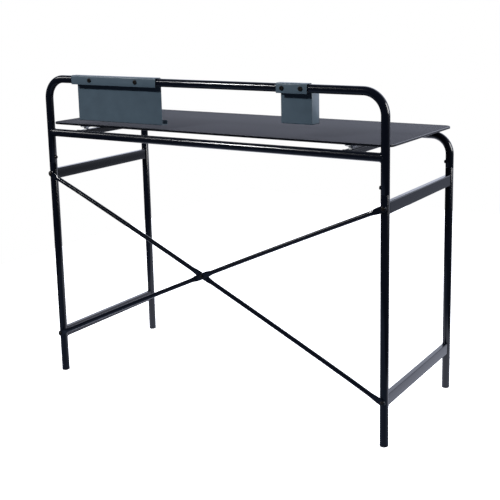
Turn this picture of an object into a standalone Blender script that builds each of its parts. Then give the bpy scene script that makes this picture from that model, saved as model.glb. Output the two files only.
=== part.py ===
"""Writing and drafting table: a smoked glass top on a knock-down steel tube frame.

Metres, +Z up. The origin is on the floor at the middle of the four feet. The user
sits on the -Y side; +Y is the rear, where the raised rail and its two holders are.
"""

import math

import bmesh
import bpy
from mathutils import Matrix, Vector

# Driving dimensions
LEG_SPACING_X = 1.056
LEG_SPACING_Y = 0.415
TUBE_RADIUS = 0.011
TUBE_WALL = 0.0012
TUBE_SIDES = 16
GAP = 0.0003

BACK_RAIL_Z = 0.8765
CROSS_RAIL_Z = 0.7220
REAR_BEND_RADIUS = 0.057
FRONT_BEND_RADIUS = 0.051
BEND_STEPS = 7
SEAM_Z = 0.634
SEAM_GAP = 0.0004

GLASS_LENGTH = 1.073
GLASS_FRONT_Y = -0.2047
GLASS_REAR_Y = 0.1955
GLASS_TOP_Z = 0.750
GLASS_THICKNESS = 0.006
GLASS_CORNER_RADIUS = 0.024
GLASS_ARRIS = 0.0008

SUPPORT_RAIL_X = 0.423
SUPPORT_RAIL_SIZE = (0.020, 0.016)
SUPPORT_RAIL_TOP_Z = 0.7325
CUP_INSET = 0.031
STRETCHER_SIZE = (0.015, 0.030)
STRETCHER_Z = (0.119, 0.601)
BOX_TUBE_CORNER = 0.002
BOX_TUBE_WALL = 0.0012

FOOT_CAP_HEIGHT = 0.022
FOOT_CAP_SOLE = 0.005
FOOT_CAP_ROUNDING = 0.003

SLEEVE_LENGTH = 0.060
SLEEVE_RADIUS = 0.0093
JOINT_SCREW_Z = 0.650

# Pan-head screws, each as head radius, head height and shank radius
JOINT_SCREW = (0.0050, 0.0036, 0.0021)
CUP_SCREW = (0.0042, 0.0026, 0.0019)
BRACE_BOLT = (0.0068, 0.0042, 0.0024)
CENTRE_BOLT = (0.0058, 0.0038, 0.0024)
CLAMP_SCREW = (0.0060, 0.0030, 0.0019)
JOINT_SCREW_LENGTH = 0.0065
BRACE_BOLT_LENGTH = 0.0125
CENTRE_BOLT_LENGTH = 0.0105
SOCKET_SHARE = 0.42

RIVET_NUT_RADIUS = 0.0042
RIVET_NUT_BORE = 0.0028
RIVET_NUT_LENGTH = 0.0095
RIVET_NUT_INSET = 0.0004
RIVET_NUT_HOLE = 0.0047
HEX_NUT_RADIUS = 0.0052
HEX_NUT_THICKNESS = 0.004
HEX_NUT_BORE = 0.0027
SCREW_HOLE = 0.0026
BOLT_HOLE = 0.0028
CLAMP_HOLE = 0.0023
ONE_WALL = 0.008
RIGHT_THROUGH = 0.030

# Suction cup section: the cup and its neck, then the blind bore for the screw, as
# (radius, share of the cup's height)
CUP_SECTION = ((0, 0.80), (0.0070, 0.84), (0.0145, 1), (0.0160, 1), (0.0158, 0.80),
               (0.0128, 0.58), (0.0065, 0.46), (0.0065, 0), (0.0024, 0), (0.0024, 0.42),
               (0, 0.42))
CUP_SCREW_REACH = 0.36

BRACE_RADIUS = 0.006
BRACE_FLAT_HALF_WIDTH = 0.0085
BRACE_FLAT_HALF_THICKNESS = 0.0015
BRACE_BOLT_Z = (0.1175, 0.602)
BRACE_BOW = 0.007
BRACE_SIDES = 10
END_FLAT = 0.018
END_TAPER = 0.030
MIDDLE_FLAT = 0.016
MIDDLE_TAPER = 0.022
CROSSING_RUN = 0.10
END_REACH = 0.985
MIDDLE_STATIONS = (0.038, 0.032, 0.026, 0.020, 0.014, 0.0)
SPAN_STATIONS = (0.40, 0.24, 0.12)

SHEET = 0.0015
SHEET_BEND = 0.0022
HOLDER_DROP = 0.0125
DOCUMENT_HOLDER_X = (0.1335, 0.4285)
DOCUMENT_HOLDER_BOTTOM_Z = 0.761
DOCUMENT_LEDGE_DEPTH = 0.024
DOCUMENT_LIP_TOP_Z = 0.773
DOCUMENT_SCREW_X = (0.2016, 0.3626)
PEN_BOX_X = (-0.326, -0.239)
PEN_BOX_BOTTOM_Z = 0.7865
PEN_BOX_DEPTH = 0.038
PEN_BOX_TOP_Z = 0.864
PEN_SCREW_X = (-0.308, -0.2555)

LEG_X = LEG_SPACING_X / 2
LEG_Y = LEG_SPACING_Y / 2
SIDES = {"right": -1, "left": 1}
ENDS = {"front": -1, "rear": 1}

for old in list(bpy.data.objects):
    bpy.data.objects.remove(old, do_unlink=True)

parts = bpy.data.collections.new("drafting_table")
cutters = bpy.data.collections.new("cutters")
bpy.context.scene.collection.children.link(parts)
bpy.context.scene.collection.children.link(cutters)


def make_material(name, colour, roughness, metallic):
    material = bpy.data.materials.new(name)
    material.use_nodes = True
    shader = material.node_tree.nodes["Principled BSDF"]
    shader.inputs["Base Color"].default_value = (*colour, 1.0)
    shader.inputs["Roughness"].default_value = roughness
    shader.inputs["Metallic"].default_value = metallic
    return material


BLACK_ENAMEL = make_material("black_enamel", (0.010, 0.012, 0.022), 0.22, 0.0)
SMOKED_GLASS = make_material("smoked_glass", (0.090, 0.095, 0.125), 0.45, 0.0)
SLATE_PAINT = make_material("slate_paint", (0.058, 0.085, 0.105), 0.55, 0.0)
BLACK_SCREW = make_material("black_screw", (0.012, 0.012, 0.014), 0.40, 0.6)
BRIGHT_ZINC = make_material("bright_zinc", (0.55, 0.56, 0.58), 0.30, 1.0)
BLACK_PLASTIC = make_material("black_plastic", (0.012, 0.013, 0.020), 0.50, 0.0)
CLEAR_VINYL = make_material("clear_vinyl", (0.75, 0.78, 0.80), 0.15, 0.0)


def add_part(name, mesh, material, location=(0, 0, 0), collection=parts):
    """Link a mesh as a new object and shade its round faces smooth."""
    part = bpy.data.objects.new(name, mesh)
    collection.objects.link(part)
    part.location = location
    if material is not None and not mesh.materials:
        mesh.materials.append(material)
    mesh.shade_smooth()
    mesh.set_sharp_from_angle(angle=math.radians(32))
    return part


def add_cutter(name, mesh, location=(0, 0, 0)):
    cutter = add_part(name, mesh, None, location, cutters)
    cutter.hide_render = True
    cutter.display_type = "WIRE"
    return cutter


def boolean(part, tool, operation="DIFFERENCE"):
    modifier = part.modifiers.new(tool.name, "BOOLEAN")
    modifier.operation = operation
    modifier.object = tool
    modifier.solver = "EXACT"


def cylinder_mesh(name, radius, length, axis, sides=TUBE_SIDES):
    """A closed cylinder centred on the origin, along the given axis."""
    mesh = bpy.data.meshes.new(name)
    bm = bmesh.new()
    turn = Vector((0, 0, 1)).rotation_difference(Vector(axis)).to_matrix().to_4x4()
    bmesh.ops.create_cone(bm, cap_ends=True, segments=sides, radius1=radius,
                          radius2=radius, depth=length, matrix=turn)
    bm.to_mesh(mesh)
    bm.free()
    return mesh


def box_mesh(name, size):
    mesh = bpy.data.meshes.new(name)
    bm = bmesh.new()
    bmesh.ops.create_cube(bm, size=1.0, matrix=Matrix.Diagonal((*size, 1.0)))
    bm.to_mesh(mesh)
    bm.free()
    return mesh


def turned_mesh(name, profile, steps, axis=(0, 0, 1)):
    """Spin a profile of (radius, height) points, listed top to bottom, about an axis."""
    mesh = bpy.data.meshes.new(name)
    bm = bmesh.new()
    points = [bm.verts.new((radius, 0, height)) for radius, height in profile]
    edges = [bm.edges.new(pair) for pair in zip(points, points[1:])]
    bmesh.ops.spin(bm, geom=points + edges, cent=(0, 0, 0), axis=(0, 0, 1),
                   angle=2 * math.pi, steps=steps)
    bmesh.ops.remove_doubles(bm, verts=bm.verts, dist=0.00001)
    bmesh.ops.recalc_face_normals(bm, faces=bm.faces)
    turn = Vector((0, 0, 1)).rotation_difference(Vector(axis)).to_matrix()
    bmesh.ops.rotate(bm, verts=bm.verts, cent=(0, 0, 0), matrix=turn)
    bm.to_mesh(mesh)
    bm.free()
    return mesh


def arc(centre, radius, start, end, steps):
    """Points on an arc in a vertical plane, as (across, up) pairs."""
    angles = [start + (end - start) * step / steps for step in range(steps + 1)]
    return [(centre[0] + radius * math.cos(angle), centre[1] + radius * math.sin(angle))
            for angle in angles]


# Frame tubes --------------------------------------------------------------

def add_tube(name, points, radius=TUBE_RADIUS, wall=TUBE_WALL):
    """An open-ended round tube along the points, hollowed to its wall thickness."""
    curve = bpy.data.curves.new(name + "_path", "CURVE")
    curve.dimensions = "3D"
    curve.bevel_depth = radius
    curve.bevel_resolution = (TUBE_SIDES - 4) // 2
    spline = curve.splines.new("POLY")
    spline.points.add(len(points) - 1)
    for target, point in zip(spline.points, points):
        target.co = (*point, 1.0)
    guide = bpy.data.objects.new(name + "_path", curve)
    parts.objects.link(guide)
    depsgraph = bpy.context.evaluated_depsgraph_get()
    mesh = bpy.data.meshes.new_from_object(guide.evaluated_get(depsgraph))
    bpy.data.objects.remove(guide, do_unlink=True)
    tube = add_part(name, mesh, BLACK_ENAMEL)
    shell = tube.modifiers.new("wall", "SOLIDIFY")
    shell.thickness = wall
    shell.offset = -1.0
    return tube


def hoop_points(y, top_z, bend, bottom_z):
    """The centre line of an inverted U between two legs, from -X to +X."""
    right = arc((-LEG_X + bend, top_z - bend), bend, math.pi, math.pi / 2, BEND_STEPS)
    left = arc((LEG_X - bend, top_z - bend), bend, math.pi / 2, 0, BEND_STEPS)
    outline = [(-LEG_X, bottom_z), *right, *left, (LEG_X, bottom_z)]
    return [(x, y, z) for x, z in outline]


def cut_hole(part, name, radius, centre, axis, length):
    tool = add_cutter(name, cylinder_mesh(name, radius, length, axis, 12), centre)
    boolean(part, tool)


rear_hoop = add_tube("rear_hoop", hoop_points(LEG_Y, BACK_RAIL_Z, REAR_BEND_RADIUS,
                                              SEAM_Z + SEAM_GAP / 2))
front_hoop = add_tube("front_hoop", hoop_points(-LEG_Y, CROSS_RAIL_Z, FRONT_BEND_RADIUS,
                                                SEAM_Z + SEAM_GAP / 2))
HOOPS = {"front": front_hoop, "rear": rear_hoop}

cope_radius = TUBE_RADIUS + GAP
leg_copes = {}
for end, y_sign in ENDS.items():
    for side, x_sign in SIDES.items():
        label = f"{end}_{side}"
        cope = cylinder_mesh(label + "_cope", cope_radius, 1.2, (0, 0, 1))
        leg_copes[label] = add_cutter(label + "_cope", cope,
                                      (x_sign * LEG_X, y_sign * LEG_Y, 0.4))
rail_copes = {}
for end, y_sign in ENDS.items():
    cope = cylinder_mesh(end + "_rail_cope", cope_radius, LEG_SPACING_X, (1, 0, 0))
    rail_copes[end] = add_cutter(end + "_rail_cope", cope, (0, y_sign * LEG_Y, CROSS_RAIL_Z))

cross_rail = add_tube("rear_cross_rail", [(-LEG_X, LEG_Y, CROSS_RAIL_Z),
                                          (LEG_X, LEG_Y, CROSS_RAIL_Z)])
boolean(cross_rail, leg_copes["rear_right"])
boolean(cross_rail, leg_copes["rear_left"])

for end, y_sign in ENDS.items():
    for side, x_sign in SIDES.items():
        leg = add_tube(f"{end}_leg_{side}", [
            (x_sign * LEG_X, y_sign * LEG_Y, FOOT_CAP_SOLE + GAP),
            (x_sign * LEG_X, y_sign * LEG_Y, SEAM_Z - SEAM_GAP / 2)])
        if end == "rear":
            for level, height in zip(("lower", "upper"), BRACE_BOLT_Z):
                cut_hole(leg, f"{side}_{level}_bolt_hole", RIVET_NUT_HOLE,
                         (x_sign * LEG_X, LEG_Y + TUBE_RADIUS, height), (0, 1, 0), ONE_WALL)


# Box-section stretchers and glass supports --------------------------------

def add_box_tube(name, size, length, centre):
    """A hollow rectangular tube with rounded corners, running along Y."""
    mesh = bpy.data.meshes.new(name)
    bm = bmesh.new()
    bmesh.ops.create_cube(bm, size=1.0, matrix=Matrix.Diagonal((size[0], length, size[1], 1)))
    ends = [face for face in bm.faces if abs(face.normal.y) > 0.5]
    bmesh.ops.delete(bm, geom=ends, context="FACES_ONLY")
    corners = [edge for edge in bm.edges if not edge.is_boundary]
    bmesh.ops.bevel(bm, geom=corners, offset=BOX_TUBE_CORNER, segments=3, profile=0.5,
                    affect="EDGES")
    bm.to_mesh(mesh)
    bm.free()
    tube = add_part(name, mesh, BLACK_ENAMEL, centre)
    shell = tube.modifiers.new("wall", "SOLIDIFY")
    shell.thickness = BOX_TUBE_WALL
    shell.offset = -1.0
    return tube


for side, x_sign in SIDES.items():
    for level, height in zip(("lower", "upper"), STRETCHER_Z):
        stretcher = add_box_tube(f"{level}_stretcher_{side}", STRETCHER_SIZE, LEG_SPACING_Y,
                                 (x_sign * LEG_X, 0, height))
        boolean(stretcher, leg_copes["front_" + side])
        boolean(stretcher, leg_copes["rear_" + side])
    rail_z = SUPPORT_RAIL_TOP_Z - SUPPORT_RAIL_SIZE[1] / 2
    rail = add_box_tube(f"support_rail_{side}", SUPPORT_RAIL_SIZE, LEG_SPACING_Y,
                        (x_sign * SUPPORT_RAIL_X, 0, rail_z))
    boolean(rail, rail_copes["front"])
    boolean(rail, rail_copes["rear"])
    for end, y_sign in ENDS.items():
        cut_hole(rail, f"{end}_{side}_cup_hole", SCREW_HOLE,
                 (x_sign * SUPPORT_RAIL_X, y_sign * (LEG_Y - CUP_INSET), rail_z),
                 (0, 0, 1), RIGHT_THROUGH)


# Glass top ----------------------------------------------------------------

def add_glass():
    depth = GLASS_REAR_Y - GLASS_FRONT_Y
    mesh = box_mesh("glass_top", (GLASS_LENGTH, depth, GLASS_THICKNESS))
    bm = bmesh.new()
    bm.from_mesh(mesh)
    upright = [edge for edge in bm.edges if abs(edge.verts[0].co.z - edge.verts[1].co.z) > 0.001]
    bmesh.ops.bevel(bm, geom=upright, offset=GLASS_CORNER_RADIUS, segments=8, profile=0.5,
                    affect="EDGES")
    rims = [edge for edge in bm.edges if edge.calc_face_angle(0) > math.radians(60)]
    bmesh.ops.bevel(bm, geom=rims, offset=GLASS_ARRIS, segments=1, affect="EDGES")
    bm.to_mesh(mesh)
    bm.free()
    add_part("glass_top", mesh, SMOKED_GLASS,
             (0, (GLASS_REAR_Y + GLASS_FRONT_Y) / 2, GLASS_TOP_Z - GLASS_THICKNESS / 2))


add_glass()


# Fasteners, sleeves, feet and suction cups --------------------------------

def pan_screw_mesh(name, size, shank_length, axis):
    """A pan-head machine screw with a hexagonal socket; the head seats at the origin."""
    head_radius, head_height, shank_radius = size
    dome = [(head_radius * math.cos(angle), head_height * (0.45 + 0.55 * math.sin(angle)))
            for angle in (math.pi / 2, math.pi / 3, math.pi / 6, 0)]
    profile = [(0, head_height), *dome[1:], (head_radius, 0), (shank_radius, 0),
               (shank_radius, -shank_length), (0, -shank_length)]
    mesh = turned_mesh(name, profile, 12)
    socket = cylinder_mesh(name + "_socket", head_radius * SOCKET_SHARE, head_height,
                           (0, 0, 1), 6)
    blank = add_part(name + "_blank", mesh, None, (0, 0, 0), cutters)
    tool = add_cutter(name + "_socket", socket, (0, 0, head_height * 1.05))
    boolean(blank, tool)
    depsgraph = bpy.context.evaluated_depsgraph_get()
    finished = bpy.data.meshes.new_from_object(blank.evaluated_get(depsgraph))
    bpy.data.objects.remove(blank, do_unlink=True)
    bpy.data.objects.remove(tool, do_unlink=True)
    turn = Vector((0, 0, 1)).rotation_difference(Vector(axis)).to_matrix().to_4x4()
    finished.transform(turn)
    finished.materials.clear()
    finished.materials.append(BLACK_SCREW)
    return finished


def ring_profile(outer, inner, top, bottom):
    """A tube wall's closed section, listed down the outside and up the inside."""
    return [(inner, top), (outer, top), (outer, bottom), (inner, bottom), (inner, top)]


rounding = arc((TUBE_RADIUS - FOOT_CAP_ROUNDING, FOOT_CAP_ROUNDING),
               FOOT_CAP_ROUNDING, 0, -math.pi / 2, 4)
spigot = TUBE_RADIUS - TUBE_WALL - GAP
cap_profile = [(0, FOOT_CAP_HEIGHT), (spigot, FOOT_CAP_HEIGHT), (spigot, FOOT_CAP_SOLE),
               (TUBE_RADIUS, FOOT_CAP_SOLE), *rounding, (0, 0)]
cap_mesh = turned_mesh("foot_cap", cap_profile, TUBE_SIDES)
sleeve_low = SEAM_Z - SLEEVE_LENGTH / 3
sleeve_mesh = turned_mesh("joint_sleeve", ring_profile(SLEEVE_RADIUS, SLEEVE_RADIUS - TUBE_WALL,
                                                       SLEEVE_LENGTH, 0), TUBE_SIDES)
joint_screws = {side: pan_screw_mesh("joint_screw_" + side, JOINT_SCREW, JOINT_SCREW_LENGTH,
                                     (-x_sign, 0, 0)) for side, x_sign in SIDES.items()}
for end, y_sign in ENDS.items():
    for side, x_sign in SIDES.items():
        leg_axis = (x_sign * LEG_X, y_sign * LEG_Y)
        add_part(f"foot_cap_{end}_{side}", cap_mesh, BLACK_PLASTIC, (*leg_axis, 0))
        sleeve = add_part(f"joint_sleeve_{end}_{side}", sleeve_mesh, BRIGHT_ZINC,
                          (*leg_axis, sleeve_low))
        screw_x = x_sign * (LEG_X - TUBE_RADIUS - GAP)
        add_part(f"joint_screw_{end}_{side}", joint_screws[side], BLACK_SCREW,
                 (screw_x, y_sign * LEG_Y, JOINT_SCREW_Z))
        for owner in (sleeve, HOOPS[end]):
            cut_hole(owner, f"{owner.name}_{side}_screw_hole", SCREW_HOLE,
                     (x_sign * (LEG_X - TUBE_RADIUS), y_sign * LEG_Y, JOINT_SCREW_Z),
                     (1, 0, 0), ONE_WALL)

cup_height = GLASS_TOP_Z - GLASS_THICKNESS - SUPPORT_RAIL_TOP_Z - 2 * GAP
cup_mesh = turned_mesh("suction_cup", [(radius, cup_height * share)
                                       for radius, share in CUP_SECTION], 16)
cup_screw = pan_screw_mesh("cup_screw", CUP_SCREW,
                           SUPPORT_RAIL_SIZE[1] + cup_height * CUP_SCREW_REACH, (0, 0, -1))
for end, y_sign in ENDS.items():
    for side, x_sign in SIDES.items():
        spot = (x_sign * SUPPORT_RAIL_X, y_sign * (LEG_Y - CUP_INSET))
        add_part(f"suction_cup_{end}_{side}", cup_mesh, CLEAR_VINYL,
                 (*spot, SUPPORT_RAIL_TOP_Z + GAP))
        add_part(f"cup_screw_{end}_{side}", cup_screw, BLACK_SCREW,
                 (*spot, SUPPORT_RAIL_TOP_Z - SUPPORT_RAIL_SIZE[1] - GAP))


# Cross brace --------------------------------------------------------------

def smooth_step(value):
    value = min(max(value, 0.0), 1.0)
    return value * value * (3 - 2 * value)


def flatness(distance, half_length):
    """1 where the rod is pressed flat, at both ends and the crossing, and 0 between."""
    from_end = half_length - abs(distance)
    at_end = 1 - smooth_step((from_end - END_FLAT) / END_TAPER)
    at_middle = 1 - smooth_step((abs(distance) - MIDDLE_FLAT) / MIDDLE_TAPER)
    return max(at_end, at_middle)


def add_brace(name, x_sign, y, end_offset):
    """A round rod from a low bolt at one leg to a high bolt at the other.

    Its ends and middle are pressed flat for the bolts. It crosses at y, and its ends
    lie off that by end_offset. The loft has one ring of points at each station.
    """
    low = Vector((x_sign * LEG_X, 0, BRACE_BOLT_Z[0]))
    high = Vector((-x_sign * LEG_X, 0, BRACE_BOLT_Z[1]))
    along = (high - low).normalized()
    across = Vector((0, 1, 0))
    upward = across.cross(along) if across.cross(along).z > 0 else along.cross(across)
    half_length = (high - low).length / 2 + BRACE_FLAT_HALF_WIDTH
    end_round = [half_length - BRACE_FLAT_HALF_WIDTH * (1 - math.cos(math.pi / 2 * step / 4))
                 for step in range(4)]
    taper = [half_length - END_FLAT - END_TAPER * step / 4 for step in range(5)]
    outward = sorted({*end_round, *taper, *MIDDLE_STATIONS, *SPAN_STATIONS})
    stations = [-distance for distance in reversed(outward[1:])] + outward
    mesh = bpy.data.meshes.new(name)
    bm = bmesh.new()
    rings = []
    for distance in stations:
        flat = flatness(distance, half_length)
        past_bolt = abs(distance) - (half_length - BRACE_FLAT_HALF_WIDTH)
        width = BRACE_RADIUS + (BRACE_FLAT_HALF_WIDTH - BRACE_RADIUS) * flat
        if past_bolt > 0:
            reach = min(past_bolt, BRACE_FLAT_HALF_WIDTH * END_REACH)
            width = math.sqrt(BRACE_FLAT_HALF_WIDTH ** 2 - reach ** 2)
        thickness = BRACE_RADIUS + (BRACE_FLAT_HALF_THICKNESS - BRACE_RADIUS) * flat
        bow = BRACE_BOW * (1 - (distance / half_length) ** 2)
        end_run = (half_length - abs(distance) - END_FLAT) / CROSSING_RUN
        to_leg = end_offset * (1 - smooth_step(end_run))
        centre = (low + high) / 2 + along * distance
        centre += Vector((0, y + to_leg, bow))
        ring = []
        for step in range(BRACE_SIDES):
            angle = 2 * math.pi * (step + 0.5) / BRACE_SIDES
            point = centre + upward * width * math.cos(angle)
            point += across * thickness * math.sin(angle)
            ring.append(bm.verts.new(point))
        rings.append(ring)
    for ring, following in zip(rings, rings[1:]):
        for step in range(BRACE_SIDES):
            after = (step + 1) % BRACE_SIDES
            bm.faces.new((ring[step], ring[after], following[after], following[step]))
    bm.faces.new(rings[0])
    bm.faces.new(rings[-1])
    bmesh.ops.recalc_face_normals(bm, faces=bm.faces)
    bm.to_mesh(mesh)
    bm.free()
    return add_part(name, mesh, BLACK_ENAMEL)


end_plane = LEG_Y + TUBE_RADIUS + GAP + BRACE_FLAT_HALF_THICKNESS
crossing_step = BRACE_FLAT_HALF_THICKNESS + GAP / 2
crossing_z = sum(BRACE_BOLT_Z) / 2 + BRACE_BOW
outer_brace = add_brace("outer_brace", 1, end_plane + crossing_step, -crossing_step)
inner_brace = add_brace("inner_brace", -1, end_plane - crossing_step, crossing_step)
for brace in (outer_brace, inner_brace):
    cut_hole(brace, brace.name + "_centre_hole", BOLT_HOLE, (0, end_plane, crossing_z),
             (0, 1, 0), RIGHT_THROUGH)
brace_ends = {"outer": ((1, BRACE_BOLT_Z[0], "lower_left"), (-1, BRACE_BOLT_Z[1], "upper_right")),
              "inner": ((-1, BRACE_BOLT_Z[0], "lower_right"), (1, BRACE_BOLT_Z[1], "upper_left"))}
bolt_seat = end_plane + BRACE_FLAT_HALF_THICKNESS + GAP
brace_bolt = pan_screw_mesh("brace_bolt", BRACE_BOLT, BRACE_BOLT_LENGTH, (0, 1, 0))
nut_mesh = turned_mesh("rivet_nut", ring_profile(RIVET_NUT_RADIUS, RIVET_NUT_BORE, 0,
                                                 -RIVET_NUT_LENGTH), 12, (0, 1, 0))
for brace_name, fixings in brace_ends.items():
    brace = outer_brace if brace_name == "outer" else inner_brace
    for x_sign, height, label in fixings:
        place = (x_sign * LEG_X, end_plane, height)
        cut_hole(brace, label + "_brace_hole", BOLT_HOLE, place, (0, 1, 0), RIGHT_THROUGH)
        add_part("brace_bolt_" + label, brace_bolt, BLACK_SCREW,
                 (x_sign * LEG_X, bolt_seat, height))
        add_part("rivet_nut_" + label, nut_mesh, BRIGHT_ZINC,
                 (x_sign * LEG_X, LEG_Y + TUBE_RADIUS - RIVET_NUT_INSET, height))

centre_stack = 2 * crossing_step + BRACE_FLAT_HALF_THICKNESS + GAP / 2
centre_bolt = pan_screw_mesh("brace_centre_bolt", CENTRE_BOLT, CENTRE_BOLT_LENGTH, (0, 1, 0))
add_part("brace_centre_bolt", centre_bolt, BLACK_SCREW,
         (0, end_plane + centre_stack, crossing_z))
nut_y = end_plane - centre_stack - GAP - HEX_NUT_THICKNESS / 2
nut = cylinder_mesh("brace_centre_nut", HEX_NUT_RADIUS, HEX_NUT_THICKNESS, (0, 1, 0), 6)
centre_nut = add_part("brace_centre_nut", nut, BLACK_SCREW, (0, nut_y, crossing_z))
cut_hole(centre_nut, "centre_nut_bore", HEX_NUT_BORE, (0, nut_y, crossing_z), (0, 1, 0),
         RIGHT_THROUGH)


# Holders that hang on the back rail ---------------------------------------

def filleted(corners, radius, steps=3):
    """Round every inner corner of a right-angled outline with a short arc."""
    outline = [corners[0]]
    for before, corner, after in zip(corners, corners[1:], corners[2:]):
        arrive = Vector(corner) - Vector(before)
        leave = Vector(after) - Vector(corner)
        start = Vector(corner) - arrive.normalized() * radius
        end = Vector(corner) + leave.normalized() * radius
        centre = start + leave.normalized() * radius
        for step in range(steps + 1):
            share = math.pi / 2 * step / steps
            outline.append(tuple(centre + (start - centre) * math.cos(share)
                                 + (end - centre) * math.sin(share)))
    outline.append(corners[-1])
    return outline


def add_bent_sheet(name, corners, x_range):
    """A sheet folded along X. The (y, z) corners follow the face that the rail touches."""
    mesh = bpy.data.meshes.new(name)
    bm = bmesh.new()
    points = [bm.verts.new((x_range[0], y, z)) for y, z in filleted(corners, SHEET_BEND)]
    edges = [bm.edges.new(pair) for pair in zip(points, points[1:])]
    swept = bmesh.ops.extrude_edge_only(bm, edges=edges)["geom"]
    moved = [item for item in swept if isinstance(item, bmesh.types.BMVert)]
    bmesh.ops.translate(bm, verts=moved, vec=(x_range[1] - x_range[0], 0, 0))
    bm.to_mesh(mesh)
    bm.free()
    sheet = add_part(name, mesh, SLATE_PAINT)
    fold = sheet.modifiers.new("sheet", "SOLIDIFY")
    fold.thickness = SHEET
    fold.offset = -1.0
    fold.use_even_offset = True
    return sheet


def holder_corners(bottom_z, depth, lip_z):
    """From the rear flange's lower edge: flange, top, back panel, ledge and front lip."""
    flange_y = LEG_Y + TUBE_RADIUS + GAP
    panel_y = LEG_Y - TUBE_RADIUS - GAP
    top_z = BACK_RAIL_Z + TUBE_RADIUS + GAP
    lip_y = panel_y - depth
    return [(flange_y, BACK_RAIL_Z - HOLDER_DROP), (flange_y, top_z), (panel_y, top_z),
            (panel_y, bottom_z), (lip_y, bottom_z), (lip_y, lip_z)]


def add_clamp_screws(holder, stations):
    seat_y = LEG_Y + TUBE_RADIUS + GAP + SHEET + GAP
    screw = pan_screw_mesh(holder.name + "_screw", CLAMP_SCREW, SHEET + GAP, (0, 1, 0))
    for label, x in zip("ab", stations):
        cut_hole(holder, f"{holder.name}_hole_{label}", CLAMP_HOLE,
                 (x, LEG_Y + TUBE_RADIUS, BACK_RAIL_Z), (0, 1, 0), ONE_WALL)
        add_part(f"{holder.name}_screw_{label}", screw, BLACK_SCREW, (x, seat_y, BACK_RAIL_Z))


document_holder = add_bent_sheet(
    "document_holder",
    holder_corners(DOCUMENT_HOLDER_BOTTOM_Z, DOCUMENT_LEDGE_DEPTH, DOCUMENT_LIP_TOP_Z),
    DOCUMENT_HOLDER_X)
add_clamp_screws(document_holder, DOCUMENT_SCREW_X)

pen_box = add_bent_sheet(
    "pen_box", holder_corners(PEN_BOX_BOTTOM_Z, PEN_BOX_DEPTH, PEN_BOX_TOP_Z), PEN_BOX_X)
wall_back = LEG_Y - TUBE_RADIUS - GAP - SHEET / 2
wall_front = LEG_Y - TUBE_RADIUS - GAP - PEN_BOX_DEPTH + SHEET / 2
wall_size = (SHEET, wall_back - wall_front, PEN_BOX_TOP_Z - PEN_BOX_BOTTOM_Z - SHEET / 2)
for x, shift in zip(PEN_BOX_X, (SHEET / 2, -SHEET / 2)):
    wall = add_cutter("pen_box_wall", box_mesh("pen_box_wall", wall_size),
                      (x + shift, (wall_back + wall_front) / 2,
                       PEN_BOX_TOP_Z - wall_size[2] / 2))
    boolean(pen_box, wall, "UNION")
add_clamp_screws(pen_box, PEN_SCREW_X)
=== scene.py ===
import math

import bmesh
import bpy
from mathutils import Matrix, Vector


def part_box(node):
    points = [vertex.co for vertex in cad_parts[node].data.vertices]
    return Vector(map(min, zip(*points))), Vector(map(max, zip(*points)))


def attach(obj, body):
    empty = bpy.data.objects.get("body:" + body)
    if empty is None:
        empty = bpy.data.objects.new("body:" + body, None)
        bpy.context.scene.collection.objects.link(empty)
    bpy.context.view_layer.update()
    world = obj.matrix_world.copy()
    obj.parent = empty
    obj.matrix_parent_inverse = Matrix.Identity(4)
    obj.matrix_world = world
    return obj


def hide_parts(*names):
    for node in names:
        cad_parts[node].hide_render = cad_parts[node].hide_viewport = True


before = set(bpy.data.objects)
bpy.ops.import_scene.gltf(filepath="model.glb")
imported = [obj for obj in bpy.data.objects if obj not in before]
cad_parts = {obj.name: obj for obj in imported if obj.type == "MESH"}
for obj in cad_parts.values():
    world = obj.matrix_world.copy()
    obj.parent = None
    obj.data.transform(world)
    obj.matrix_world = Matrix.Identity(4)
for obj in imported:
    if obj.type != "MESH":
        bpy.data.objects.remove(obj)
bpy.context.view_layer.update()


# ---------------------------------------------------------------------------
# Leg tubes: four straight lengths of 22 mm round steel tube, sawn square and
# deburred at the top, stove-enamelled in a glossy blue-black. The rear pair
# carry threaded rivet nuts for the cross brace.

def linear(code):
    """An sRGB hex colour as the linear RGBA that a shader socket takes."""
    channels = [int(code[place:place + 2], 16) / 255 for place in (1, 3, 5)]
    return (*[value / 12.92 if value <= 0.04045 else ((value + 0.055) / 1.055) ** 2.4
              for value in channels], 1.0)


def add_node(material, kind, inputs, **settings):
    """Add one node, set its options, and set or link each input, by its name or place."""
    node = material.node_tree.nodes.new(kind)
    for option, value in settings.items():
        setattr(node, option, value)
    for name, value in inputs.items():
        if isinstance(value, bpy.types.NodeSocket):
            material.node_tree.links.new(value, node.inputs[name])
        else:
            node.inputs[name].default_value = value
    return node


def new_material(name, sockets):
    """A Principled material with its constant sockets set; returns it and its shader."""
    material = bpy.data.materials.new(name)
    material.use_nodes = True
    shader = material.node_tree.nodes["Principled BSDF"]
    for socket, value in sockets.items():
        shader.inputs[socket].default_value = value
    return material, shader


def feed(material, output, shader, socket):
    material.node_tree.links.new(output, shader.inputs[socket])


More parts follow.
